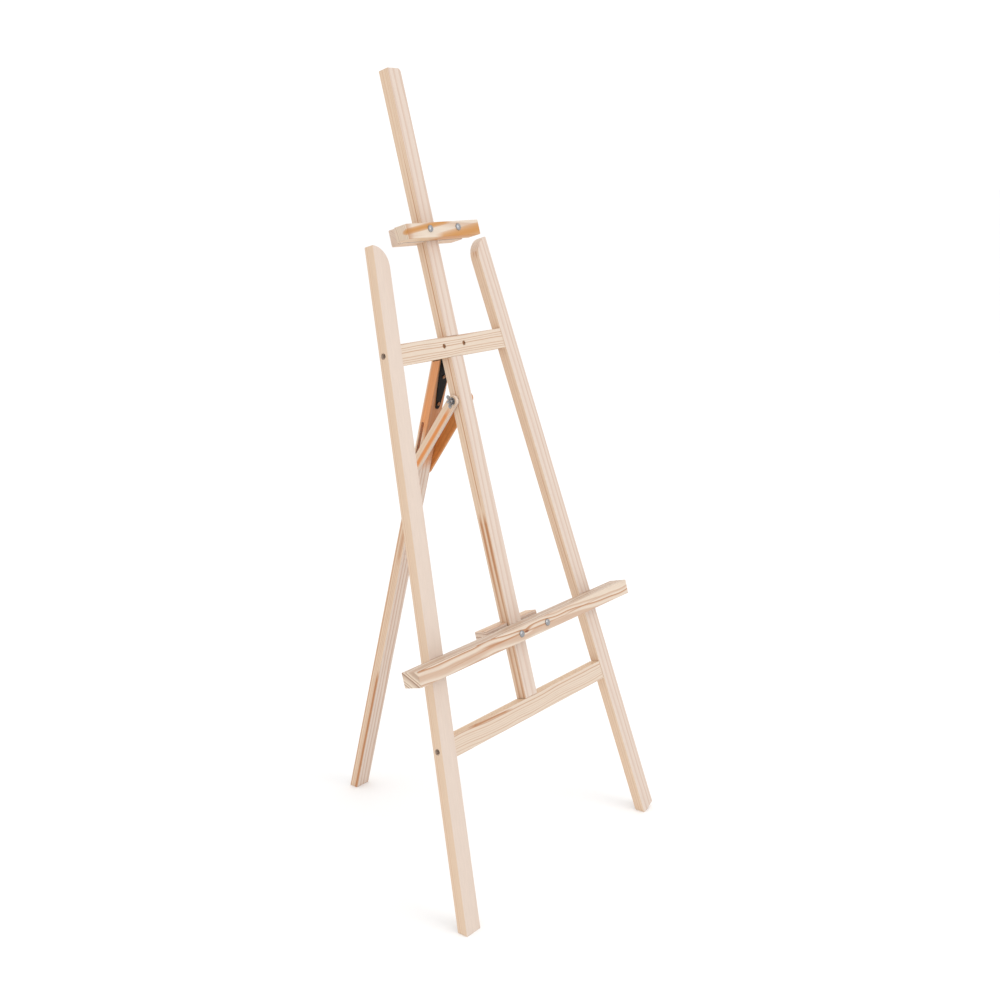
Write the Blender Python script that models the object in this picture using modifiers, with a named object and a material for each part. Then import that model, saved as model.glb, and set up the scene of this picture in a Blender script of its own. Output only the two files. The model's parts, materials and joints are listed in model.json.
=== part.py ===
"""A wooden A-frame artist's easel, made as separate pieces that bolt and hinge together.

Units are metres and +Z is up. The easel faces -Y, and the origin is on the floor in the
middle of its footprint. Most pieces are placed in the front frame, which leans back: there
X is across, Y is depth behind the legs' front faces and Z is the distance up the frame.
"""

import math

import bmesh
import bpy
from mathutils import Matrix, Vector

# Lean and spread of the frame
TILT = math.radians(15.44)
SPLAY = math.radians(6.98)
REAR_LEAN = math.radians(15.15)
GAP = 0.0003
EDGE = 0.0012

# Front legs
LEG_WIDTH = 0.038
LEG_DEPTH = 0.022
LEG_TOP = 1.2522
FOOT_SPREAD = 0.3156

# Mast
MAST_WIDTH = 0.0355
MAST_DEPTH = 0.0245
MAST_TOP = 1.5809
MAST_CORNER = 0.008

# Crossbars
BAR_FRONT = 0.001
BAR_BACK = 0.025
UPPER_BAR = (1.0284, 1.0677)
LOWER_BAR = (0.312, 0.350)
LAP_DEPTH = 0.0122

# Bolts that hold the crossbars to the legs
FOOT_CORNER = (0.031, 0.012)
LEG_BOLT_RADIUS = 0.003
LEG_BOLT_HEAD = 0.0056
LEG_BOLT_SUNK = 0.018
LEG_BOLT_DEPTH = 0.0115
BOLT_IN_BAR = 0.030
BARREL_IN_BAR = 0.022
BARREL_RADIUS = 0.005
BARREL_LENGTH = 0.014

# Hinge between the upper crossbar and the rear leg
PIN_UP = 1.0236
PIN_OFFSET = 0.0032
PIN_RADIUS = 0.0015
KNUCKLE_RADIUS = 0.0029
LEAF_NEAR = 0.0008
LEAF_FAR = 0.0024
LEAF_START = 0.0034
STRAP_HALF_WIDTHS = ((0.016, 0.0034), (0.012, 0.050), (0.0085, 0.078), (0.0058, 0.0957))
STRAP_SCREWS = (0.0145, 0.0335, 0.0899)
PLATE_HALF_WIDTH = 0.042
PLATE_HEIGHT = 0.030
PLATE_SCREW_X = 0.029
PLATE_SCREW_UP = 1.0506
PLATE_SCREW_SUNK = 0.002
MAST_SCREW_UP = 1.042
KNUCKLE_SPLIT = 0.006
KNUCKLE_HALF = 0.016

# Rear leg
REAR_WIDTH = 0.0365
REAR_DEPTH = 0.0205
REAR_HEAD = 0.0045
LEG_SLOT_BACK = 0.0123
LEG_SLOT_DOWN = (0.135, 0.268)
LEG_SLOT_WIDTH = 0.0066

# Stay: two slats that bridge the mast and the rear leg
STAY_BOLT_UP = 0.9455
STAY_BOLT_DEPTH = 0.0155
STAY_PIVOT_DOWN = 0.2389
SLAT_INNER = 0.0187
SLAT_THICK = 0.0065
SLAT_WIDTH = 0.023
STAY_BOLT_RADIUS = 0.0025
STAY_NUT_SIZE = 0.8

# Canvas tray and the bar that clamps it to the mast
TRAY_HALF_LENGTH = 0.3295
TRAY_UP = (0.4698, 0.4991)
TRAY_FRONT = -0.041
TRAY_BOLTS_X = (-0.037, 0.045)
TRAY_BOLT_UP = 0.4845
TRAY_CLAMP_ENDS = (-0.085, 0.076)
TRAY_CLAMP_UP = (0.470, 0.505)
TRAY_CLAMP_DEPTH = (0.006, 0.034)

# Top holder and its clamp bar
HOLDER_ENDS = (-0.098, 0.108)
HOLDER_UP = (1.2515, 1.2800)
HOLDER_FRONT = -0.033
HOLDER_BOLTS_X = (-0.035, 0.045)
HOLDER_BOLT_UP = 1.268
HOLDER_CLAMP_ENDS = (-0.077, 0.094)
HOLDER_CLAMP_UP = (1.2503, 1.2822)
HOLDER_CLAMP_DEPTH = (0.003, 0.034)

# Clamp hardware
CLAMP_BOLT_RADIUS = 0.003
CLAMP_HEAD_RADIUS = 0.0068
CLAMP_HEAD_RISE = 0.0034
BOLT_STANDS_OUT = 0.012
WASHER_RADIUS = 0.0075
WASHER_THICK = 0.0012
HUB_RADIUS = 0.0058
HUB_TALL = 0.008
WING_THICK = 0.0022
ROUND_STEPS = 16

# Half-turns that point a piece's own Z axis along another axis
TO_FRONT = (math.pi / 2, 0, 0)
TO_BACK = (-math.pi / 2, 0, 0)
TO_RIGHT = (0, math.pi / 2, 0)
TO_LEFT = (0, -math.pi / 2, 0)
UPSIDE_DOWN = (math.pi, 0, 0)

COLOURS = {
    "pine": ((0.78, 0.60, 0.42, 1), 0.55, 0.0),
    "zinc": ((0.62, 0.63, 0.64, 1), 0.32, 1.0),
    "brass": ((0.50, 0.34, 0.18, 1), 0.40, 1.0),
    "black_steel": ((0.02, 0.02, 0.022, 1), 0.42, 0.6),
}


def clear_scene():
    for obj in list(bpy.data.objects):
        bpy.data.objects.remove(obj)


def new_collection(name):
    collection = bpy.data.collections.new(name)
    bpy.context.scene.collection.children.link(collection)
    return collection


def new_material(name, finish):
    colour, roughness, metallic = COLOURS[finish]
    material = bpy.data.materials.new(name)
    material.use_nodes = True
    shader = material.node_tree.nodes["Principled BSDF"]
    shader.inputs["Base Color"].default_value = colour
    shader.inputs["Roughness"].default_value = roughness
    shader.inputs["Metallic"].default_value = metallic
    return material


def new_frame(name, location, rotation, parent=None):
    """An empty that carries a group of pieces."""
    frame = bpy.data.objects.new(name, None)
    PARTS.objects.link(frame)
    frame.parent = parent
    frame.location = location
    frame.rotation_euler = rotation
    return frame


def place(mesh, name, finish, parent, location=(0, 0, 0), rotation=(0, 0, 0)):
    piece = bpy.data.objects.new(name, mesh)
    PARTS.objects.link(piece)
    piece.parent = parent
    piece.location = location
    piece.rotation_euler = rotation
    piece.data.materials.clear()
    piece.data.materials.append(new_material(name, finish))
    return piece


def place_cutter(mesh, name, parent, location=(0, 0, 0), rotation=(0, 0, 0)):
    cutter = bpy.data.objects.new(name, mesh)
    CUTTERS.objects.link(cutter)
    cutter.parent = parent
    cutter.location = location
    cutter.rotation_euler = rotation
    cutter.hide_render = True
    cutter.display_type = "WIRE"
    return cutter


def cut(piece, *cutters):
    for cutter in cutters:
        modifier = piece.modifiers.new("cut_" + cutter.name, "BOOLEAN")
        modifier.operation = "DIFFERENCE"
        modifier.object = cutter


def ease_edges(piece, width=EDGE):
    modifier = piece.modifiers.new("eased_edges", "BEVEL")
    modifier.width = width
    modifier.segments = 2
    modifier.limit_method = "ANGLE"
    modifier.angle_limit = math.radians(40)


def block(low, high):
    """A box mesh between two corners."""
    low, high = Vector(low), Vector(high)
    work = bmesh.new()
    size = Matrix.Diagonal((*(high - low), 1))
    bmesh.ops.create_cube(work, size=1, matrix=Matrix.Translation((low + high) / 2) @ size)
    mesh = bpy.data.meshes.new("block")
    work.to_mesh(mesh)
    work.free()
    return mesh


def arc(centre, radius, start, end, count=6):
    """Points round a circle from one angle to another, in degrees."""
    angles = [math.radians(start + (end - start) * i / count) for i in range(count + 1)]
    return [(centre[0] + radius * math.cos(a), centre[1] + radius * math.sin(a)) for a in angles]


# Where an outline's own X, Y and Z go when it is extruded along each axis
TURNS = {
    "X": Matrix(((0, 0, 1, 0), (1, 0, 0, 0), (0, 1, 0, 0), (0, 0, 0, 1))),
    "Y": Matrix(((1, 0, 0, 0), (0, 0, -1, 0), (0, 1, 0, 0), (0, 0, 0, 1))),
    "Z": Matrix.Identity(4),
}


def flat_shape(outline, low, high, normal="Y"):
    """A mesh of a flat outline that is extruded from low to high along one axis."""
    curve = bpy.data.curves.new("outline", "CURVE")
    curve.dimensions = "2D"
    curve.fill_mode = "BOTH"
    curve.extrude = (high - low) / 2
    spline = curve.splines.new("POLY")
    spline.points.add(len(outline) - 1)
    for point, (across, up) in zip(spline.points, outline):
        point.co = (across, up, 0, 1)
    spline.use_cyclic_u = True
    guide = bpy.data.objects.new("outline", curve)
    bpy.context.scene.collection.objects.link(guide)
    graph = bpy.context.evaluated_depsgraph_get()
    mesh = bpy.data.meshes.new_from_object(guide.evaluated_get(graph))
    bpy.data.objects.remove(guide)
    work = bmesh.new()
    work.from_mesh(mesh)
    bmesh.ops.remove_doubles(work, verts=work.verts, dist=1e-6)
    bmesh.ops.dissolve_limit(work, angle_limit=0.001, verts=work.verts, edges=work.edges)
    along = Vector([(low + high) / 2 if axis == normal else 0 for axis in "XYZ"])
    bmesh.ops.transform(work, matrix=Matrix.Translation(along) @ TURNS[normal], verts=work.verts)
    bmesh.ops.recalc_face_normals(work, faces=work.faces)
    work.to_mesh(mesh)
    work.free()
    return mesh


def turned_shape(profile, steps=ROUND_STEPS):
    """A closed mesh turned about Z from (radius, height) points that run down its outside."""
    mesh = bpy.data.meshes.new("profile")
    edges = [(i, i + 1) for i in range(len(profile) - 1)]
    mesh.from_pydata([(radius, 0, height) for radius, height in profile], edges, [])
    guide = bpy.data.objects.new("profile", mesh)
    bpy.context.scene.collection.objects.link(guide)
    screw = guide.modifiers.new("turn", "SCREW")
    screw.steps = steps
    screw.render_steps = steps
    screw.use_merge_vertices = True
    screw.merge_threshold = 1e-5
    graph = bpy.context.evaluated_depsgraph_get()
    turned = bpy.data.meshes.new_from_object(guide.evaluated_get(graph))
    bpy.data.objects.remove(guide)
    turned.shade_smooth()
    turned.set_sharp_from_angle(angle=math.radians(35))
    return turned


def ring_shape(outer, inner, tall, steps=ROUND_STEPS):
    """A washer or tube that stands on z = 0."""
    return turned_shape([(inner, tall), (outer, tall), (outer, 0), (inner, 0), (inner, tall)], steps)


def rod_shape(radius, low, high, steps=ROUND_STEPS):
    return turned_shape([(0, high), (radius, high), (radius, low), (0, low)], steps)


def joined(first, *others):
    """One mesh from several overlapping ones."""
    base = bpy.data.objects.new("base", first)
    bpy.context.scene.collection.objects.link(base)
    extra = []
    for mesh in others:
        other = bpy.data.objects.new("other", mesh)
        bpy.context.scene.collection.objects.link(other)
        union = base.modifiers.new("join", "BOOLEAN")
        union.operation = "UNION"
        union.object = other
        extra.append(other)
    graph = bpy.context.evaluated_depsgraph_get()
    mesh = bpy.data.meshes.new_from_object(base.evaluated_get(graph))
    for obj in [base, *extra]:
        bpy.data.objects.remove(obj)
    return mesh


def hex_shape(across_flats, bore, tall):
    """A plain hexagon nut that stands on z = 0."""
    corners = arc((0, 0), across_flats / math.sqrt(3), 0, 300, 5)
    nut = flat_shape(corners, 0, tall, "Z")
    hole = rod_shape(bore, -tall, 2 * tall, 16)
    return subtracted(nut, hole)


def subtracted(first, second):
    base = bpy.data.objects.new("base", first)
    tool = bpy.data.objects.new("tool", second)
    for obj in (base, tool):
        bpy.context.scene.collection.objects.link(obj)
    hole = base.modifiers.new("hole", "BOOLEAN")
    hole.operation = "DIFFERENCE"
    hole.object = tool
    graph = bpy.context.evaluated_depsgraph_get()
    mesh = bpy.data.meshes.new_from_object(base.evaluated_get(graph))
    for obj in (base, tool):
        bpy.data.objects.remove(obj)
    return mesh


def wing_nut_shape(bore, size=1.0):
    """A wing nut that stands on z = 0, with its wings in the XZ plane."""
    ear = arc((0.0112, 0.0092), 0.0048, -75, 150, 9)
    right = [(0.0045, 0.001), *ear, (0.0040, 0.0068)]
    left = [(-across, up) for across, up in reversed(right)]
    wings = flat_shape(right + left, -WING_THICK / 2, WING_THICK / 2, "Y")
    hub = turned_shape([(0, HUB_TALL), (HUB_RADIUS - 0.001, HUB_TALL), (HUB_RADIUS, 0), (0, 0)])
    solid = joined(hub, wings)
    solid.transform(Matrix.Scale(size, 4))
    return subtracted(solid, rod_shape(bore, -0.01, 0.02, 16))


def carriage_bolt_shape(length, radius=CLAMP_BOLT_RADIUS, head=CLAMP_HEAD_RADIUS):
    """A low domed head above z = 0 and a plain shank below it."""
    rim = 0.0007
    rise = CLAMP_HEAD_RISE - rim
    dome = [
        (head * math.sin(math.radians(a)), rim + rise * math.cos(math.radians(a)))
        for a in (0, 22, 44, 66, 90)
    ]
    tip = 0.001
    shank = [(head, 0), (radius, 0), (radius, tip - length), (radius - tip, -length), (0, -length)]
    return turned_shape(dome + shank)


def flat_screw_profile(length, radius, head, clear=0.0):
    """A countersunk screw whose flat head is level with z = 0, made larger all round by clear."""
    top = clear * 10
    sink = head - radius
    return [
        (0, top),
        (head + clear, top),
        (head + clear, 0),
        (radius + clear, -sink),
        (radius + clear, -length + 0.003),
        (0.0002, -length - clear),
        (0, -length - clear),
    ]


def pan_screw_profile(length, radius, head, rise):
    """A pan-head screw whose head stands on z = 0."""
    return [
        (0, rise),
        (head * 0.7, rise),
        (head, rise * 0.4),
        (head, 0),
        (radius, 0),
        (radius, -length + 0.003),
        (0.0002, -length),
        (0, -length),
    ]


def outer_face(up):
    """How far the outer face of a front leg is from the middle, at a height up the frame."""
    return FOOT_SPREAD - math.tan(SPLAY) * up


def inner_face(up):
    return outer_face(up) - LEG_WIDTH / math.cos(SPLAY)


def leg_outline(side):
    """A front leg in the plane of the frame: sharp outer top corner, inner one rounded off."""
    along = Vector((-math.sin(SPLAY), math.cos(SPLAY)))
    inward = Vector((-math.cos(SPLAY), -math.sin(SPLAY)))
    top = Vector((outer_face(LEG_TOP), LEG_TOP))
    centre = top - along * LEG_WIDTH
    round_top = [
        centre + along * LEG_WIDTH * math.cos(a) + inward * LEG_WIDTH * math.sin(a)
        for a in [math.radians(90 * i / 8) for i in range(9)]
    ]
    below = -0.02
    foot = [(inner_face(below), below), (outer_face(below), below)]
    points = [tuple(point) for point in round_top] + foot
    return [(side * across, up) for across, up in points]


def make_leg_bolt(side, level, up, leg, bar):
    """A sunk bolt through the leg into the crossbar's end, and its barrel nut."""
    name = f"{level}_{'right' if side > 0 else 'left'}"
    turn = TO_RIGHT if side > 0 else TO_LEFT
    seat = outer_face(up) - LEG_BOLT_SUNK
    reach = seat - inner_face(up) + BOLT_IN_BAR
    head = LEG_BOLT_HEAD
    shank = LEG_BOLT_RADIUS
    socket = 0.0021
    bolt = turned_shape([
        (0, 0.002), (socket, 0.002), (socket, 0.005), (head, 0.005), (head, 0),
        (shank, 0), (shank, -reach), (0, -reach),
    ])
    place(bolt, f"{name}_leg_bolt", "black_steel", FRONT, (side * seat, LEG_BOLT_DEPTH, up), turn)
    bore = turned_shape([
        (0, 0.03), (head + GAP, 0.03), (head + GAP, -GAP),
        (shank + GAP, -GAP), (shank + GAP, -reach - 0.001), (0, -reach - 0.001),
    ])
    bore = place_cutter(bore, f"{name}_bolt_bore", FRONT, (side * seat, LEG_BOLT_DEPTH, up), turn)
    nut_x = side * (inner_face(up) - BARREL_IN_BAR)
    nut_start = LEG_BOLT_DEPTH - BARREL_LENGTH / 2
    barrel = subtracted(
        rod_shape(BARREL_RADIUS, 0, BARREL_LENGTH),
        cross_hole(LEG_BOLT_RADIUS + GAP, BARREL_LENGTH / 2),
    )
    place(barrel, f"{name}_barrel_nut", "zinc", FRONT, (nut_x, nut_start, up), TO_BACK)
    pocket = rod_shape(BARREL_RADIUS + GAP, -GAP, 0.03)
    pocket = place_cutter(pocket, f"{name}_nut_pocket", FRONT, (nut_x, nut_start, up), TO_BACK)
    cut(leg, bore)
    cut(bar, bore, pocket)


def cross_hole(radius, height):
    """A rod along X at a height, to bore a hole through the side of a barrel nut."""
    rod = rod_shape(radius, -0.02, 0.02, 16)
    rod.transform(Matrix.Translation((0, 0, height)) @ Matrix.Rotation(math.pi / 2, 4, "Y"))
    return rod


def foot_corner_shape():
    """What is sawn off the outer corner of the right foot."""
    low = Vector((outer_face(0) - FOOT_CORNER[0], 0))
    high = Vector((outer_face(FOOT_CORNER[1]), FOOT_CORNER[1]))
    along = high - low
    start = low - along * 0.3
    end = high + along * 0.3
    return flat_shape([tuple(start), (end.x, start.y), tuple(end)], -0.01, LEG_DEPTH + 0.01)


def make_legs(floor):
    legs = {}
    for side, name in ((-1, "left_leg"), (1, "right_leg")):
        mesh = flat_shape(leg_outline(side), 0, LEG_DEPTH)
        legs[side] = place(mesh, name, "pine", FRONT)
        cut(legs[side], floor)
    cut(legs[1], place_cutter(foot_corner_shape(), "foot_corner", FRONT))
    for leg in legs.values():
        ease_edges(leg)
    return legs


def make_crossbar(name, up, lap=0.0):
    """A bar whose ends meet the splayed legs."""
    low, high = up
    low_end = inner_face(low) - GAP
    high_end = inner_face(high) - GAP
    outline = [(-high_end, high), (-low_end, low), (low_end, low), (high_end, high)]
    bar = place(flat_shape(outline, BAR_FRONT, BAR_BACK), name, "pine", FRONT)
    ease_edges(bar, EDGE / 2)
    if lap:
        half = MAST_WIDTH / 2 + GAP
        notch = block((-half, lap, low - 0.01), (half, BAR_BACK + 0.01, high + 0.01))
        cut(bar, place_cutter(notch, name + "_lap", FRONT))
    return bar


def make_mast():
    half = MAST_WIDTH / 2
    bottom = LOWER_BAR[1] + GAP
    corner = (half - MAST_CORNER, MAST_TOP - MAST_CORNER)
    outline = [
        (-half, MAST_TOP), (-half, bottom), (half, bottom),
        *arc(corner, MAST_CORNER, 0, 90),
    ]
    mast = place(flat_shape(outline, 0, MAST_DEPTH), "mast", "pine", FRONT)
    ease_edges(mast)
    low, high = UPPER_BAR
    notch = block((-0.05, -0.01, low - GAP), (0.05, LAP_DEPTH + GAP, high + GAP))
    cut(mast, place_cutter(notch, "mast_lap", FRONT))
    return mast


def make_foot_screws(mast, lower_bar):
    """Screws up through the lower crossbar into the end of the mast."""
    shape = flat_screw_profile(0.070, 0.0022, 0.0045)
    hole = flat_screw_profile(0.070, 0.0022, 0.0045, GAP)
    for side, name in ((-1, "left"), (1, "right")):
        spot = (side * 0.009, 0.0125, LOWER_BAR[0] + 0.0005)
        place(turned_shape(shape, 14), f"mast_foot_screw_{name}", "zinc", FRONT, spot, UPSIDE_DOWN)
        bore = place_cutter(turned_shape(hole, 14), f"foot_bore_{name}", FRONT, spot, UPSIDE_DOWN)
        cut(mast, bore)
        cut(lower_bar, bore)


def knuckles(leaf, stretches):
    """A hinge leaf with tubes round the X axis at its edge, bored for the pin."""
    tubes = []
    for start, end in stretches:
        tube = rod_shape(KNUCKLE_RADIUS, start, end, 16)
        tube.transform(Matrix.Rotation(math.pi / 2, 4, "Y"))
        tubes.append(tube)
    bore = rod_shape(PIN_RADIUS + GAP, -0.03, 0.03, 12)
    bore.transform(Matrix.Rotation(math.pi / 2, 4, "Y"))
    return subtracted(joined(leaf, *tubes), bore)


def make_hinge(mast, upper_bar, rear_leg):
    make_cross_plate(mast, upper_bar)
    make_strap(rear_leg)
    pin = rod_shape(PIN_RADIUS, -KNUCKLE_HALF - 0.001, KNUCKLE_HALF + 0.001, 12)
    place(pin, "hinge_pin", "black_steel", FRONT, (0, MAST_DEPTH + PIN_OFFSET, PIN_UP), TO_RIGHT)


def make_cross_plate(mast, upper_bar):
    """The hinge's wide leaf, on the back of the upper crossbar."""
    tube_in = KNUCKLE_SPLIT + GAP
    far, near = -LEAF_FAR, -LEAF_NEAR
    half, top = PLATE_HALF_WIDTH, LEAF_START + PLATE_HEIGHT
    leaf = block((-half, far, LEAF_START), (half, near, top))
    for side in (-1, 1):
        ends = sorted((side * (tube_in + GAP), side * (KNUCKLE_HALF - GAP)))
        leaf = joined(leaf, block((ends[0], far, 0), (ends[1], near, LEAF_START + GAP)))
    mesh = knuckles(leaf, ((-KNUCKLE_HALF, -tube_in), (tube_in, KNUCKLE_HALF)))
    pin = (0, MAST_DEPTH + PIN_OFFSET, PIN_UP)
    plate = place(mesh, "hinge_cross_plate", "black_steel", FRONT, pin)
    back = MAST_DEPTH + PIN_OFFSET - LEAF_NEAR
    for side, name in ((-1, "left"), (1, "right")):
        spot = (side * PLATE_SCREW_X, BAR_FRONT + PLATE_SCREW_SUNK, PLATE_SCREW_UP)
        screw = machine_screw_profile(0.0)
        place(turned_shape(screw, 16), f"crossbar_screw_{name}", "brass", FRONT, spot, TO_FRONT)
        bore = turned_shape(machine_screw_profile(GAP), 16)
        bore = place_cutter(bore, f"crossbar_screw_bore_{name}", FRONT, spot, TO_FRONT)
        cut(upper_bar, bore)
        cut(plate, bore)
        nut_spot = (side * PLATE_SCREW_X, back + GAP, PLATE_SCREW_UP)
        nut = hex_shape(0.007, 0.0021 + GAP, 0.003)
        place(nut, f"crossbar_nut_{name}", "zinc", FRONT, nut_spot, TO_BACK)
    spot = (0, back + GAP, MAST_SCREW_UP)
    screw = turned_shape(pan_screw_profile(0.012, 0.0019, 0.0038, 0.002), 14)
    place(screw, "hinge_mast_screw", "black_steel", FRONT, spot, TO_BACK)
    bore = rod_shape(0.0019 + GAP, -0.013, 0.01, 14)
    bore = place_cutter(bore, "hinge_mast_screw_bore", FRONT, spot, TO_BACK)
    cut(mast, bore)
    cut(plate, bore)


def machine_screw_profile(clear):
    """A flat-head machine screw that goes through the crossbar and the hinge plate."""
    head, radius = 0.0045, 0.0021
    reach = MAST_DEPTH + PIN_OFFSET - LEAF_NEAR - BAR_FRONT - PLATE_SCREW_SUNK + 0.0042
    return [
        (0, clear * 10),
        (head + clear, clear * 10),
        (head + clear, 0),
        (radius + clear, radius - head),
        (radius + clear, -reach),
        (0, -reach),
    ]


def make_strap(rear_leg):
    """The hinge's long tapered leaf, on the front face of the rear leg."""
    tab = KNUCKLE_SPLIT - GAP
    half = [(tab, 0), (tab, -LEAF_START)]
    half += [(across, -down) for across, down in STRAP_HALF_WIDTHS]
    tip_radius, tip_down = STRAP_HALF_WIDTHS[-1]
    tip = arc((0, -tip_down), tip_radius, 0, -180, 10)[1:-1]
    left = [(-across, up) for across, up in reversed(half)]
    leaf = flat_shape(half + tip + left, LEAF_NEAR, LEAF_FAR)
    mesh = knuckles(leaf, ((-KNUCKLE_SPLIT, KNUCKLE_SPLIT),))
    strap = place(mesh, "hinge_strap", "black_steel", REAR)
    face = LEAF_NEAR - GAP
    shape = pan_screw_profile(0.015, 0.0019, 0.0038, 0.002)
    for down, name in zip(STRAP_SCREWS, ("top", "middle", "tip")):
        screw = turned_shape(shape, 14)
        place(screw, f"strap_screw_{name}", "brass", REAR, (0, face, -down), TO_FRONT)
        bore = rod_shape(0.0019 + GAP, -0.016, 0.01, 14)
        bore = place_cutter(bore, f"strap_screw_bore_{name}", REAR, (0, face, -down), TO_FRONT)
        cut(strap, bore)
        cut(rear_leg, bore)


def make_rear_leg(floor):
    half = REAR_WIDTH / 2
    long = PIN_HEIGHT / math.cos(REAR_LEAN) + 0.03
    low = (-half, PIN_OFFSET, -long)
    high = (half, PIN_OFFSET + REAR_DEPTH, REAR_HEAD)
    leg = place(block(low, high), "rear_leg", "pine", REAR)
    cut(leg, floor)
    ease_edges(leg)
    return leg


def make_stay(mast, rear_leg):
    """Two slats clamped to the mast, whose lower bolt slides in a slot along the rear leg."""
    reach = SLAT_WIDTH / 2
    outline = arc((0, 0), reach, 0, 180, 8) + arc((0, -STAY_LENGTH), reach, 180, 360, 8)
    bores = []
    for name, up in (("top", 0), ("foot", -STAY_LENGTH)):
        bore = rod_shape(STAY_BOLT_RADIUS + GAP, -0.05, 0.05)
        bores.append(place_cutter(bore, f"stay_{name}_bore", STAY, (0, 0, up), TO_RIGHT))
    for side, name in ((-1, "stay_slat_left"), (1, "stay_slat_right")):
        faces = sorted((side * SLAT_INNER, side * (SLAT_INNER + SLAT_THICK)))
        slat = place(flat_shape(outline, *faces, "X"), name, "pine", STAY)
        ease_edges(slat, EDGE / 2)
        cut(slat, *bores)
    cut(rear_leg, make_leg_slot())
    clamp = (0, STAY_BOLT_DEPTH, STAY_BOLT_UP)
    hole = rod_shape(STAY_BOLT_RADIUS + GAP, -0.05, 0.05)
    cut(mast, place_cutter(hole, "stay_clamp_bore", FRONT, clamp, TO_RIGHT))
    add_stay_hardware("stay_clamp", FRONT, clamp)
    add_stay_hardware("stay_pivot", STAY, (0, 0, -STAY_LENGTH))


def make_leg_slot():
    """The round-ended slot through the rear leg, from side to side."""
    back = PIN_OFFSET + LEG_SLOT_BACK
    high, low = LEG_SLOT_DOWN
    outline = arc((back, -high), LEG_SLOT_WIDTH / 2, 0, 180, 8)
    outline += arc((back, -low), LEG_SLOT_WIDTH / 2, 180, 360, 8)
    return place_cutter(flat_shape(outline, -0.05, 0.05, "X"), "rear_leg_slot", REAR)


def add_stay_hardware(name, frame, centre):
    """A bolt with its head on the right, and a washer and nut at the left."""
    outside = SLAT_INNER + SLAT_THICK + GAP
    seat = outside + WASHER_THICK + GAP
    _, depth, up = centre
    clamp = name == "stay_clamp"
    tip = 0.0395 if clamp else 0.0335
    bolt = carriage_bolt_shape(seat + tip, STAY_BOLT_RADIUS, 0.0065)
    place(bolt, f"{name}_bolt", "zinc", frame, (seat, depth, up), TO_RIGHT)
    bore = STAY_BOLT_RADIUS + GAP
    for side, hand, turn in ((-1, "left", TO_LEFT), (1, "right", TO_RIGHT)):
        washer = ring_shape(WASHER_RADIUS, bore, WASHER_THICK)
        place(washer, f"{name}_washer_{hand}", "zinc", frame, (side * outside, depth, up), turn)
    if clamp:
        nut = place(wing_nut_shape(bore, STAY_NUT_SIZE), "stay_wing_nut", "zinc", frame)
    else:
        nut = place(hex_shape(0.008, bore, 0.004), "stay_pivot_nut", "zinc", frame)
    nut.location = (-seat, depth, up)
    nut.rotation_euler = TO_LEFT


def make_clamp_bar(name, frame, ends, depth, up):
    """A bar behind a tray or holder, with a notch in its front that fits round the mast."""
    left, right = ends
    front, back = depth
    half = MAST_WIDTH / 2 + GAP
    inside = MAST_DEPTH + GAP
    outline = [(left, front), (-half, front), (-half, inside), (half, inside), (half, front)]
    outline += [(right, front), (right, back), (left, back)]
    bar = place(flat_shape(outline, *up, "Z"), f"{name}_clamp_bar", "pine", frame)
    ease_edges(bar)
    return bar


def add_clamp_bolts(name, frame, places, up, head_at, seat_at, pieces):
    """Carriage bolts on both sides of the mast, with washers and wing nuts behind."""
    washer_at = seat_at + GAP
    nut_at = washer_at + WASHER_THICK + GAP
    length = nut_at + BOLT_STANDS_OUT - head_at
    bore_radius = CLAMP_BOLT_RADIUS + GAP
    for x, hand in zip(places, ("left", "right")):
        bolt = carriage_bolt_shape(length)
        place(bolt, f"{name}_bolt_{hand}", "zinc", frame, (x, head_at - GAP, up), TO_FRONT)
        washer = ring_shape(WASHER_RADIUS, bore_radius, WASHER_THICK)
        place(washer, f"{name}_washer_{hand}", "zinc", frame, (x, washer_at, up), TO_BACK)
        nut = wing_nut_shape(bore_radius)
        place(nut, f"{name}_wing_nut_{hand}", "zinc", frame, (x, nut_at, up), TO_BACK)
        bore = rod_shape(bore_radius, -0.2, 0.2)
        bore = place_cutter(bore, f"{name}_bolt_bore_{hand}", frame, (x, 0, up), TO_FRONT)
        for piece in pieces:
            cut(piece, bore)


def make_tray():
    frame = new_frame("tray_slide", (0, 0, 0), (0, 0, 0), FRONT)
    low, high = TRAY_UP
    half = TRAY_HALF_LENGTH
    tray = block((-half, TRAY_FRONT, low), (half, -GAP, high))
    tray = place(tray, "canvas_tray", "pine", frame)
    ease_edges(tray)
    clamp = make_clamp_bar("tray", frame, TRAY_CLAMP_ENDS, TRAY_CLAMP_DEPTH, TRAY_CLAMP_UP)
    back = TRAY_CLAMP_DEPTH[1]
    add_clamp_bolts("tray", frame, TRAY_BOLTS_X, TRAY_BOLT_UP, TRAY_FRONT, back, (tray, clamp))


def make_holder():
    frame = new_frame("holder_slide", (0, 0, 0), (0, 0, 0), FRONT)
    left, right = HOLDER_ENDS
    low, high = HOLDER_UP
    holder = block((left, HOLDER_FRONT, low), (right, -GAP, high))
    holder = place(holder, "top_holder", "pine", frame)
    ease_edges(holder)
    clamp = make_clamp_bar("holder", frame, HOLDER_CLAMP_ENDS, HOLDER_CLAMP_DEPTH, HOLDER_CLAMP_UP)
    back = HOLDER_CLAMP_DEPTH[1]
    add_clamp_bolts("holder", frame, HOLDER_BOLTS_X, HOLDER_BOLT_UP, HOLDER_FRONT, back, (holder, clamp))


def in_front_frame(depth, up):
    """(y, z) of a point of the front frame, with y counted from the front feet."""
    y = up * math.sin(TILT) + depth * math.cos(TILT)
    return y, up * math.cos(TILT) - depth * math.sin(TILT)


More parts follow.
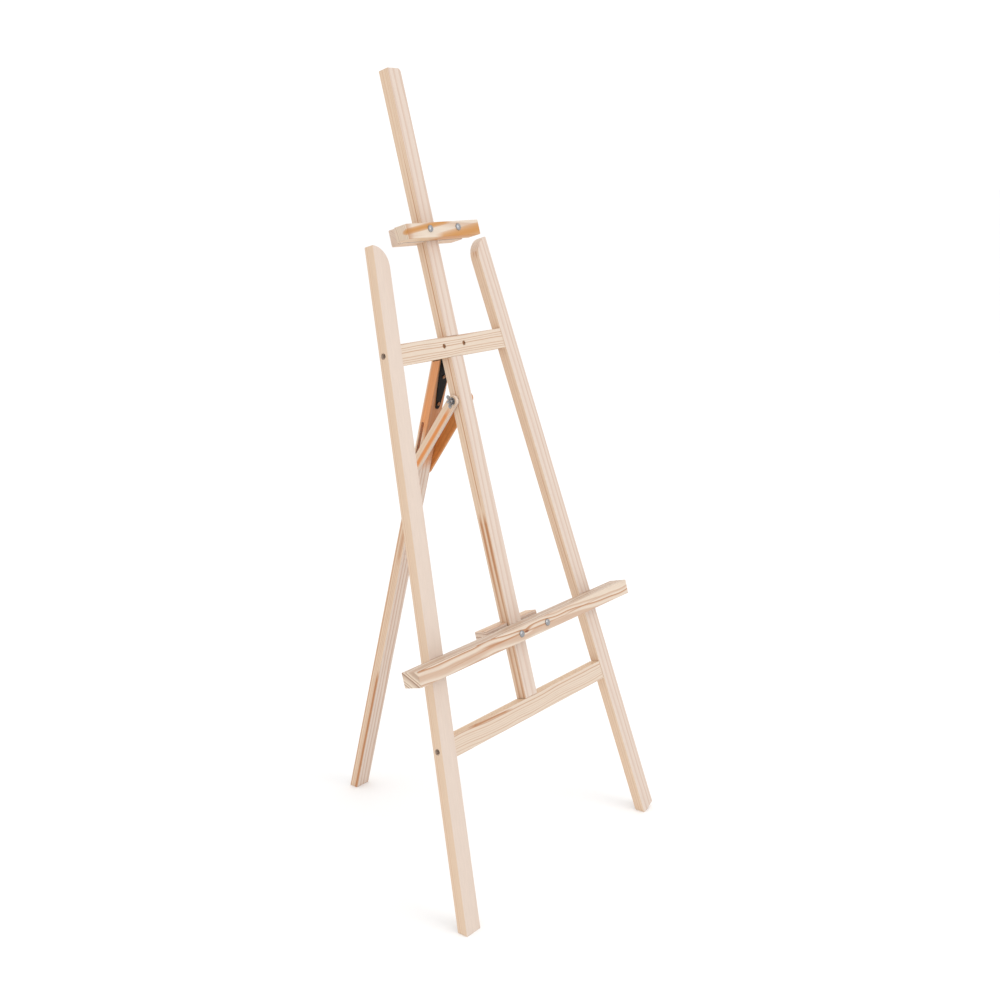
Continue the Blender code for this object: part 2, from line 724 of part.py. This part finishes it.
def from_pin(depth, up):
    """(y, z) of a point of the rear leg, given behind and above the hinge pin."""
    y = PIN_Y + depth * math.cos(REAR_LEAN) - up * math.sin(REAR_LEAN)
    return y, PIN_HEIGHT + depth * math.sin(REAR_LEAN) + up * math.cos(REAR_LEAN)


# Places that follow from the driving dimensions
PIN_Y, PIN_HEIGHT = in_front_frame(MAST_DEPTH + PIN_OFFSET, PIN_UP)
BACK_TOP_Y, BACK_TOP_Z = from_pin(PIN_OFFSET + REAR_DEPTH, 0)
FOOTPRINT = BACK_TOP_Y + BACK_TOP_Z * math.tan(REAR_LEAN)
CLAMP_Y, CLAMP_Z = in_front_frame(STAY_BOLT_DEPTH, STAY_BOLT_UP)
PIVOT_Y, PIVOT_Z = from_pin(PIN_OFFSET + LEG_SLOT_BACK, -STAY_PIVOT_DOWN)
STAY_LENGTH = math.hypot(CLAMP_Y - PIVOT_Y, CLAMP_Z - PIVOT_Z)
STAY_LEAN = math.atan2(PIVOT_Y - CLAMP_Y, CLAMP_Z - PIVOT_Z)

clear_scene()
PARTS = new_collection("artist_easel")
CUTTERS = new_collection("cutters")
ORIGIN_Y = -FOOTPRINT / 2
FRONT = new_frame("front_frame", (0, ORIGIN_Y, 0), (-TILT, 0, 0))
REAR = new_frame("rear_leg_pin", (0, PIN_Y + ORIGIN_Y, PIN_HEIGHT), (REAR_LEAN, 0, 0))
STAY = new_frame("stay_clamp_axis", (0, CLAMP_Y + ORIGIN_Y, CLAMP_Z), (STAY_LEAN, 0, 0))


def build_easel():
    floor = place_cutter(block((-1, -1, -1), (1, 1, 0)), "floor", None)
    legs = make_legs(floor)
    upper_bar = make_crossbar("upper_crossbar", UPPER_BAR, LAP_DEPTH)
    lower_bar = make_crossbar("lower_crossbar", LOWER_BAR)
    for side in (-1, 1):
        make_leg_bolt(side, "upper", sum(UPPER_BAR) / 2 + 0.003, legs[side], upper_bar)
        make_leg_bolt(side, "lower", sum(LOWER_BAR) / 2 + 0.002, legs[side], lower_bar)
    mast = make_mast()
    make_foot_screws(mast, lower_bar)
    rear_leg = make_rear_leg(floor)
    make_hinge(mast, upper_bar, rear_leg)
    make_stay(mast, rear_leg)
    make_tray()
    make_holder()


build_easel()
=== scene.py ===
"""Looks of the wooden artist's easel: planed pine, zinc hardware and a black strap hinge."""

import json
import math
from typing import NamedTuple

import bmesh
import bpy
import numpy as np
from mathutils import Euler, Matrix, Vector

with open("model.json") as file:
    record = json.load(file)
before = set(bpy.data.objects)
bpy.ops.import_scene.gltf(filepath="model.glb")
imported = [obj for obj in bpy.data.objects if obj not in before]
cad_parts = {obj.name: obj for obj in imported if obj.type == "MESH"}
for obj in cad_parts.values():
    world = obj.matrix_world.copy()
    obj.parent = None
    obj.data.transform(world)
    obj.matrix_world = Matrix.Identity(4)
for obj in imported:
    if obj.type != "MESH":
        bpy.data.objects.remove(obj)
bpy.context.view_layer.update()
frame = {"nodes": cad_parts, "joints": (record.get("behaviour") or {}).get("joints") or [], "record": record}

JOINTS = {joint["name"]: joint for joint in frame["joints"]}
BACK = Vector(JOINTS["tray_wing_nut_left_turn"]["axis"])
RIGHT = Vector((1, 0, 0))

# Camera
CAMERA_PLACE = (-1.9124, -1.6440, 1.3548)
CAMERA_LENS = 47.26
CAMERA_DOWN = 14.53
CAMERA_HEADING = 51.52
CAMERA_ROLL = -0.28

# Light
SURROUND = 1.08
KEY_PLACE = (0.9, -4.4, 3.2)
KEY_TARGET = (0, 0, 0.7)
KEY_SIZE = 3.5
KEY_POWER = 60
FLOOR_WHITE = 0.95
FLOOR_HALF = 60.0

# Pine colours, as linear reflectances
EARLYWOOD = (0.630, 0.525, 0.450)
YELLOWER = (0.645, 0.540, 0.440)
LATEWOOD = (0.38, 0.155, 0.052)
END_LINES = (0.24, 0.125, 0.080)
HEARTWOOD = (0.50, 0.235, 0.070)
RESIN = (0.46, 0.140, 0.028)
AMBER = (0.60, 0.24, 0.075)
# Slot walls: fresh-cut wood orange, brightened and saturated as painted bounce light in the slot's shade.
SLOT_WOOD_AND_PAINTED_LIGHT = (0.85, 0.36, 0.12)
KNOT = (0.20, 0.055, 0.02)
# Multipliers by facing. Side faces get painted light, partly also the side grain's own yellower tone. End
# faces get painted light. The neutral value paints none.
SIDE_TONE_AND_PAINTED_LIGHT = (1.13, 1.03, 0.88)
END_PAINTED_LIGHT = (1.16, 1.14, 1.10)
NO_PAINTED_LIGHT = (1.0, 1.0, 1.0)
BAND_WANDER = 0.006
BAND_FADE = 0.025

# Metal colours, as pairs that are mixed in patches
ZINC = ((0.20, 0.21, 0.24), (0.44, 0.43, 0.42))
BLACK = ((0.006, 0.004, 0.003), (0.020, 0.013, 0.008))
BRASS = ((0.42, 0.22, 0.12), (0.14, 0.06, 0.03))


class Band(NamedTuple):
    """A coloured streak along a board: where it runs in the section, how wide, and between what ends."""

    places: tuple
    radii: tuple
    share: float
    ends: tuple
    slope: float = 0.0
    colour: tuple = LATEWOOD


class Tree:
    """Short calls that add nodes to a material and return their output sockets."""

    def __init__(self, name):
        self.material = bpy.data.materials.new(name)
        self.material.use_nodes = True
        self.nodes = self.material.node_tree.nodes
        self.links = self.material.node_tree.links
        self.shader = self.nodes["Principled BSDF"]

    def feed(self, socket, value):
        if isinstance(value, bpy.types.NodeSocket):
            self.links.new(value, socket)
        elif value is not None:
            socket.default_value = value

    def math(self, operation, first, second=None, third=None, clamp=False):
        node = self.nodes.new("ShaderNodeMath")
        node.operation = operation
        node.use_clamp = clamp
        for socket, value in zip(node.inputs, (first, second, third)):
            self.feed(socket, value)
        return node.outputs[0]

    def vector(self, operation, first, second=None):
        node = self.nodes.new("ShaderNodeVectorMath")
        node.operation = operation
        for socket, value in zip(node.inputs, (first, second)):
            self.feed(socket, value)
        return node.outputs["Value" if operation in ("DOT_PRODUCT", "LENGTH") else "Vector"]

    def scaled(self, colour, amount):
        node = self.nodes.new("ShaderNodeVectorMath")
        node.operation = "SCALE"
        self.feed(node.inputs[0], colour)
        self.feed(node.inputs["Scale"], amount)
        return node.outputs["Vector"]

    def noise(self, vector, stretch, detail=2.0, output="Fac"):
        node = self.nodes.new("ShaderNodeTexNoise")
        node.inputs["Scale"].default_value = 1.0
        node.inputs["Detail"].default_value = detail
        self.feed(node.inputs["Vector"], self.vector("MULTIPLY", vector, stretch))
        return node.outputs[output]

    def ramp(self, value, stops):
        node = self.nodes.new("ShaderNodeValToRGB")
        points = node.color_ramp.elements
        while len(points) < len(stops):
            points.new(1.0)
        for point, (place, level) in zip(points, stops):
            point.position = place
            point.color = (level, level, level, 1)
        self.feed(node.inputs[0], value)
        return node.outputs["Color"]

    def mix(self, share, first, second):
        node = self.nodes.new("ShaderNodeMix")
        node.data_type = "RGBA"
        self.feed(node.inputs["Factor"], share)
        sockets = [socket for socket in node.inputs if socket.type == "RGBA"]
        for socket, value in zip(sockets, (first, second)):
            self.feed(socket, (*value, 1) if isinstance(value, tuple) else value)
        return next(socket for socket in node.outputs if socket.type == "RGBA")

    def bump(self, height, distance, strength):
        node = self.nodes.new("ShaderNodeBump")
        node.inputs["Distance"].default_value = distance
        node.inputs["Strength"].default_value = strength
        self.feed(node.inputs["Height"], height)
        self.feed(self.shader.inputs["Normal"], node.outputs["Normal"])


def board_axes(node):
    """The centre of a board and its (across, through, along) directions, from its vertices."""
    points = np.array([v.co for v in frame["nodes"][node].data.vertices])
    centre = (points.min(0) + points.max(0)) / 2
    along = Vector(np.linalg.svd(points - points.mean(0), full_matrices=False)[2][0])
    if along.z + along.x < 0:
        along.negate()
    through = Vector((0, 1, 0))
    through = (through - along * through.dot(along)).normalized()
    if abs(along.x) > 0.9:
        through = BACK
        along = RIGHT
    return Vector(centre), Matrix((through.cross(along), through, along)).transposed()


def board_coordinates(tree, node):
    """Object coordinates turned into a board's own: across, through and along the grain."""
    centre, turn = board_axes(node)
    coordinates = tree.nodes.new("ShaderNodeTexCoord")
    mapping = tree.nodes.new("ShaderNodeMapping")
    mapping.vector_type = "TEXTURE"
    mapping.inputs["Location"].default_value = centre
    mapping.inputs["Rotation"].default_value = turn.to_euler()
    tree.links.new(coordinates.outputs["Object"], mapping.inputs["Vector"])
    facings = [
        tree.math("ABSOLUTE", tree.vector("DOT_PRODUCT", coordinates.outputs["Normal"], tuple(direction)))
        for direction in (turn.col[0], turn.col[2])
    ]
    return mapping.outputs["Vector"], facings


def knot_fields(tree, across, along, knots):
    """(how far each point is from the nearest knot, how much the knots push the rings)."""
    near, push = 1.0, 0.0
    for knot_across, knot_along, radius, length in knots:
        side = tree.math("DIVIDE", tree.math("SUBTRACT", across, knot_across), radius)
        end = tree.math("DIVIDE", tree.math("SUBTRACT", along, knot_along), length)
        square = tree.math("ADD", tree.math("POWER", side, 2.0), tree.math("POWER", end, 2.0))
        away = tree.math("SQRT", square)
        near = tree.math("MINIMUM", near, away)
        swell = tree.math("EXPONENT", tree.math("MULTIPLY", square, -0.16))
        push = tree.math("ADD", push, tree.math("MULTIPLY", swell, radius * 1.6))
    return near, push


def add_band(tree, colour, position, shakes, along, band):
    """Mix a band into a board's colour."""
    square = 0.0
    slopes = (band.slope, 0)
    for coordinate, shake, place, radius, slope in zip(position, shakes, band.places, band.radii, slopes):
        middle = tree.math("MULTIPLY_ADD", along, slope, place)
        offset = tree.math("MULTIPLY_ADD", shake, BAND_WANDER, tree.math("SUBTRACT", coordinate, middle))
        offset = tree.math("DIVIDE", offset, radius)
        square = tree.math("ADD", square, tree.math("POWER", offset, 2.0))
    inside = tree.math("SUBTRACT", 1.0, square, clamp=True)
    begun = tree.math("MULTIPLY", tree.math("SUBTRACT", along, band.ends[0]), 1 / BAND_FADE, clamp=True)
    ended = tree.math("MULTIPLY", tree.math("SUBTRACT", band.ends[1], along), 1 / BAND_FADE, clamp=True)
    amount = tree.math("MULTIPLY", tree.math("MULTIPLY", begun, ended), tree.math("POWER", inside, 0.5))
    return tree.mix(tree.math("MULTIPLY", amount, band.share), colour, band.colour)


def pine(node, seed, pith, ring=0.0028, drift=(0.0, 0.0), wander=0.006, waves=2.6, warm=0.15,
         streaks=0.3, contrast=0.6, width=0.3, base=EARLYWOOD, side_tone_and_light=SIDE_TONE_AND_PAINTED_LIGHT, knots=(), bands=()):
    """Planed pine cut from a log whose pith runs at pith = (across, through) from the board's middle.

    ring is the width of a year's growth, width the share of it that is dark latewood,
    drift how far the pith moves per metre of board, wander how far the rings waver and
    waves how often they do it in a metre.
    warm, streaks and contrast set how orange it is.
    """
    tree = Tree(f"pine_{node}")
    place, (side_face, end_face) = board_coordinates(tree, node)
    shifted = tree.vector("ADD", place, (seed * 1.37, seed * 0.71, seed * 2.13))
    split = tree.nodes.new("ShaderNodeSeparateXYZ")
    tree.links.new(place, split.inputs[0])
    across, through, along = split.outputs
    waver = tree.vector("SUBTRACT", tree.noise(shifted, (9, 9, waves), 2, "Color"), (0.5, 0.5, 0.5))
    waver_split = tree.nodes.new("ShaderNodeSeparateXYZ")
    tree.links.new(waver, waver_split.inputs[0])
    near, push = knot_fields(tree, across, along, knots)
    sides = []
    for position, start, slope, shake in zip((across, through), pith, drift, waver_split.outputs):
        middle = tree.math("MULTIPLY_ADD", along, slope, start)
        offset = tree.math("SUBTRACT", position, middle)
        sides.append(tree.math("MULTIPLY_ADD", shake, wander * 2, offset))
    square = tree.math("ADD", tree.math("POWER", sides[0], 2.0), tree.math("POWER", sides[1], 2.0))
    radius = tree.math("ADD", tree.math("SQRT", square), push)
    ragged = tree.noise(shifted, (420, 420, 14), 2)
    radius = tree.math("MULTIPLY_ADD", ragged, 0.0005, radius)
    uneven = tree.math("MULTIPLY_ADD", tree.math("SINE", tree.math("MULTIPLY", radius, 310)), 0.32,
                       tree.math("DIVIDE", radius, ring))
    year = tree.math("FLOOR", uneven)
    season = tree.math("FRACT", uneven)
    late = tree.ramp(season, (
        (0.0, 0.3),
        (0.06, 0.0),
        (0.94 - 1.6 * width, 0.04),
        (0.94 - 0.6 * width, 0.75),
        (0.94, 1.0),
        (1.0, 0.3),
    ))
    luck = tree.nodes.new("ShaderNodeTexWhiteNoise")
    luck.noise_dimensions = "1D"
    tree.links.new(tree.math("ADD", year, seed * 7.7), luck.inputs["W"])
    bold = tree.math("MULTIPLY_ADD", luck.outputs["Value"], 0.6, 0.4)
    late = tree.math("MULTIPLY", late, bold)

    fibre = tree.noise(shifted, (1500, 1500, 30), 3)
    flame = tree.noise(shifted, (60, 60, 2.4), 3)
    broad = tree.ramp(tree.noise(shifted, (26, 26, 1.4), 1), ((0.42, 0.0), (0.68, 1.0)))
    resin = tree.ramp(tree.noise(shifted, (190, 190, 3.2), 2), ((0.58, 0.0), (0.72, 1.0)))

    colour = tree.mix(tree.math("MULTIPLY", broad, warm, clamp=True), base, HEARTWOOD)
    ends = tree.ramp(end_face, ((0.25, 0.0), (0.75, 1.0)))
    depth = tree.math("MULTIPLY_ADD", ends, 0.15, contrast)
    lines = tree.mix(ends, LATEWOOD, END_LINES)
    colour = tree.mix(tree.math("MULTIPLY", late, depth, clamp=True), colour, lines)
    glow = tree.math("MULTIPLY", tree.math("MULTIPLY", resin, flame), streaks, clamp=True)
    colour = tree.mix(glow, colour, RESIN)
    for band in bands:
        colour = add_band(tree, colour, (across, through), waver_split.outputs, along, band)
    if knots:
        rim = tree.ramp(near, ((0.0, 1.0), (0.42, 0.75), (0.6, 0.95), (0.75, 0.12), (1.0, 0.0)))
        colour = tree.mix(rim, colour, KNOT)
    shade = tree.math("MULTIPLY_ADD", fibre, 0.26, 0.87)
    pores = tree.noise(shifted, (2600, 2600, 40), 1)
    # Painted light: side and end faces are made lighter and yellower by the way they face. On the sides this
    # is partly their own yellower tone.
    face_tone_and_light = tree.mix(tree.ramp(side_face, ((0.5, 0.0), (0.9, 1.0))), NO_PAINTED_LIGHT, side_tone_and_light)
    face_tone_and_light = tree.mix(ends, face_tone_and_light, END_PAINTED_LIGHT)
    colour = tree.vector("MULTIPLY", colour, face_tone_and_light)
    tree.feed(tree.shader.inputs["Base Color"], tree.scaled(colour, shade))

    rough = tree.math("MULTIPLY_ADD", fibre, 0.14, 0.46)
    rough = tree.math("MULTIPLY_ADD", late, -0.10, rough)
    tree.feed(tree.shader.inputs["Roughness"], tree.math("MULTIPLY_ADD", ends, 0.15, rough))
    tree.shader.inputs["Specular IOR Level"].default_value = 0.32
    height = tree.math("MULTIPLY_ADD", late, 0.55, tree.math("MULTIPLY", fibre, 0.6))
    height = tree.math("MULTIPLY_ADD", pores, 0.3, height)
    tree.bump(height, 0.00025, 0.35)
    return tree.material


def zinc():
    """Bright zinc plate: metal with faint cloudy patches and fine scratches."""
    tree = Tree("zinc_plate")
    place = tree.nodes.new("ShaderNodeTexCoord").outputs["Object"]
    clouds = tree.noise(place, (240, 240, 240), 3)
    grain = tree.noise(place, (2200, 2200, 2200), 2)
    tree.feed(tree.shader.inputs["Base Color"], tree.mix(clouds, *ZINC))
    tree.shader.inputs["Metallic"].default_value = 1.0
    rough = tree.math("MULTIPLY_ADD", clouds, 0.20, 0.18)
    tree.feed(tree.shader.inputs["Roughness"], rough)
    tree.bump(tree.math("ADD", grain, clouds), 0.00008, 0.25)
    return tree.material


def black_steel():
    """Japanned steel: a black skin with a slight orange-peel and rubbed, browner patches."""
    tree = Tree("black_japan")
    place = tree.nodes.new("ShaderNodeTexCoord").outputs["Object"]
    peel = tree.noise(place, (900, 900, 900), 2)
    worn = tree.ramp(tree.noise(place, (130, 130, 130), 4), ((0.55, 0.0), (0.75, 1.0)))
    tree.feed(tree.shader.inputs["Base Color"], tree.mix(worn, *BLACK))
    tree.feed(tree.shader.inputs["Roughness"], tree.math("MULTIPLY_ADD", worn, 0.22, 0.40))
    tree.shader.inputs["Specular IOR Level"].default_value = 0.12
    tree.bump(peel, 0.0001, 0.3)
    return tree.material


def brass():
    """Dulled brass: brown in its hollows, with a rubbed glint."""
    tree = Tree("dulled_brass")
    place = tree.nodes.new("ShaderNodeTexCoord").outputs["Object"]
    dull = tree.ramp(tree.noise(place, (700, 700, 700), 3), ((0.4, 0.0), (0.65, 1.0)))
    tree.feed(tree.shader.inputs["Base Color"], tree.mix(dull, *BRASS))
    tree.shader.inputs["Metallic"].default_value = 1.0
    tree.feed(tree.shader.inputs["Roughness"], tree.math("MULTIPLY_ADD", dull, 0.25, 0.30))
    tree.bump(dull, 0.00005, 0.2)
    return tree.material


# How each board was sawn: pith (across, through), ring width, and how orange it came out
BOARDS = {
    "left_leg": dict(seed=1, pith=(0.010, 0.300), ring=0.0036, wander=0.0016, contrast=0.34, warm=0.02,
                     streaks=0.04, width=0.22),
    "right_leg": dict(seed=2, pith=(0.090, 0.220), ring=0.0046, wander=0.002, contrast=0.45, warm=0.02,
                      streaks=0.05, width=0.24,
                      bands=(Band((-0.0190, -0.004), (0.002, 0.0014), 0.8, (-0.7, 0.7)),
                             Band((-0.0190, 0.003), (0.002, 0.0012), 0.7, (-0.7, 0.7)))),
    "mast": dict(seed=3, pith=(0.070, 0.260), ring=0.0048, wander=0.002, contrast=0.30, warm=0.02,
                 streaks=0.06, width=0.24,
                 bands=(Band((-0.0178, -0.006), (0.0034, 0.0040), 0.95, (-0.8, -0.24)),
                        Band((-0.0178, 0.005), (0.0034, 0.0035), 0.90, (-0.8, -0.24)),
                        Band((-0.0178, -0.004), (0.0025, 0.0015), 0.7, (-0.24, 0.8)))),
    "upper_crossbar": dict(seed=4, pith=(0.150, 0.020), ring=0.0060, wander=0.007, waves=4.0, contrast=1.0,
                           warm=0.05, streaks=0.05, width=0.18, base=YELLOWER),
    "lower_crossbar": dict(seed=5, pith=(-0.100, 0.090), ring=0.0034, wander=0.009, waves=4.0, contrast=0.75,
                           warm=0.08, streaks=0.10, width=0.18, base=YELLOWER,
                           bands=(Band((-0.0125, -0.012), (0.0022, 0.006), 0.9, (-0.20, -0.06), 0.03),)),
    "rear_leg": dict(seed=6, pith=(0.05, 0.12), ring=0.0046, wander=0.004, contrast=0.75, warm=0.10,
                     streaks=0.3, width=0.26,
                     bands=(Band((0.0, -0.0103), (0.030, 0.006), 0.80, (0.27, 0.8), colour=AMBER),
                            Band((-0.0183, 0.0), (0.005, 0.011), 0.85, (0.34, 0.8), colour=AMBER),
                            Band((-0.0183, -0.004), (0.004, 0.004), 0.45, (0.05, 0.34)),
                            # Slot band: the walls of the slot get fresh-cut wood orange plus painted bounce
                            # light in the slot's shade.
                            Band((0.0, 0.002), (0.0181, 0.009), 1.0, (0.2, 0.42), colour=SLOT_WOOD_AND_PAINTED_LIGHT),
                            Band((-0.0183, -0.009), (0.003, 0.0035), 0.9, (-0.6, -0.2)))),
    "stay_slat_left": dict(seed=7, pith=(0.06, 0.12), ring=0.0044, contrast=0.3, warm=0.03, streaks=0.05,
                           bands=(Band((-0.0035, -0.0030), (0.004, 0.0048), 1.0, (-0.1, 0.085),
                                       colour=AMBER),)),
    # Right slat: its deep orange base and heavy streaks are painted shade and orange bounce light on its
    # inner face between the two slats.
    "stay_slat_right": dict(seed=8, pith=(0.05, -0.03), ring=0.0060, contrast=0.6, warm=0.6, streaks=1.0,
                            base=AMBER),
    "canvas_tray": dict(seed=9, pith=(0.110, 0.090), ring=0.0085, drift=(0.0, 0.03), wander=0.009, waves=6.0,
                        contrast=1.0, warm=0.12, streaks=0.35, width=0.34, side_tone_and_light=NO_PAINTED_LIGHT,
                        base=YELLOWER,
                        knots=((-0.0005, -0.021, 0.0030, 0.0085),),
                        bands=(Band((0.010, -0.0165), (0.0035, 0.006), 1.0, (-0.29, -0.14), slope=-0.02),
                               Band((0.0, -0.0165), (0.0022, 0.005), 0.9, (-0.16, 0.12), slope=0.02),
                               Band((-0.004, -0.0165), (0.0018, 0.005), 0.8, (-0.26, -0.02), slope=-0.03),
                               Band((0.004, -0.0165), (0.0022, 0.005), 0.9, (0.10, 0.30), slope=-0.03))),
    "tray_clamp_bar": dict(seed=10, pith=(0.10, 0.02), ring=0.0050, contrast=0.9, warm=0.10, width=0.4),
    "top_holder": dict(seed=11, pith=(0.010, 0.120), ring=0.0030, drift=(0.0, 0.01), wander=0.002,
                       contrast=0.6, warm=0.15, streaks=0.3, base=YELLOWER,
                       bands=(Band((0.017, -0.0165), (0.0135, 0.040), 1.0, (-0.03, 0.2), -0.14, HEARTWOOD),
                              Band((-0.014, -0.0165), (0.0062, 0.014), 1.0, (-0.2, 0.03), -0.14, HEARTWOOD),
                              # This darker strip at the front face's left end is painted shade along that
                              # edge.
                              Band((0.0, -0.0165), (0.030, 0.0018), 1.0, (-0.2, -0.088)))),
    "holder_clamp_bar": dict(seed=12, pith=(0.03, 0.04), ring=0.0030, contrast=0.6, warm=0.2),
}


def dress(node, material):
    obj = frame["nodes"][node]
    obj.data.materials.clear()
    obj.data.materials.append(material)


def dress_cad_nodes():
    """Give every node its record's material: its own cut of pine for each board, or a shared metal."""
    metals = {"zinc": zinc(), "brass": brass(), "black_steel": black_steel()}
    for subpart in frame["record"]["subparts"]:
        name, slot = subpart["node"], subpart["material_slot"]
        dress(name, pine(name, **BOARDS[name]) if slot == "pine" else metals[slot])


def add_floor():
    floor = new_piece("floor", plane_mesh(FLOOR_HALF))
    tree = Tree("pale_floor")
    tree.shader.inputs["Base Color"].default_value = (FLOOR_WHITE, FLOOR_WHITE, FLOOR_WHITE, 1)
    tree.shader.inputs["Roughness"].default_value = 0.9
    tree.shader.inputs["Specular IOR Level"].default_value = 0.1
    floor.data.materials.append(tree.material)


def plane_mesh(half):
    mesh = bpy.data.meshes.new("floor")
    work = bmesh.new()
    bmesh.ops.create_grid(work, x_segments=1, y_segments=1, size=half)
    work.to_mesh(mesh)
    work.free()
    return mesh


def new_piece(name, mesh):
    piece = bpy.data.objects.new(name, mesh)
    bpy.context.scene.collection.objects.link(piece)
    return piece


def add_light(name, place, target, size, power):
    data = bpy.data.lights.new(name, "AREA")
    data.shape = "DISK"
    data.size = size
    data.energy = power
    light = bpy.data.objects.new(name, data)
    light.location = place
    light.rotation_euler = (Vector(target) - Vector(place)).to_track_quat("-Z", "Y").to_euler()
    bpy.context.scene.collection.objects.link(light)


def add_lights():
    """An even white surround, which is also the backdrop, and a soft key."""
    world = bpy.data.worlds.new("studio")
    world.use_nodes = True
    surround = world.node_tree.nodes["Background"]
    surround.inputs["Color"].default_value = (1, 1, 1, 1)
    surround.inputs["Strength"].default_value = SURROUND
    bpy.context.scene.world = world
    add_light("key", KEY_PLACE, KEY_TARGET, KEY_SIZE, KEY_POWER)


def add_camera():
    data = bpy.data.cameras.new("camera")
    data.lens = CAMERA_LENS
    data.sensor_width = 36
    camera = bpy.data.objects.new("camera", data)
    aim = Euler((math.radians(90 - CAMERA_DOWN), 0, math.radians(-CAMERA_HEADING))).to_matrix()
    roll = Matrix.Rotation(math.radians(CAMERA_ROLL), 3, "Z")
    camera.rotation_euler = (aim @ roll).to_euler()
    camera.location = CAMERA_PLACE
    bpy.context.scene.collection.objects.link(camera)
    bpy.context.scene.camera = camera


add_camera()
add_lights()
add_floor()
dress_cad_nodes()
bpy.context.scene.view_settings.view_transform = "Standard"
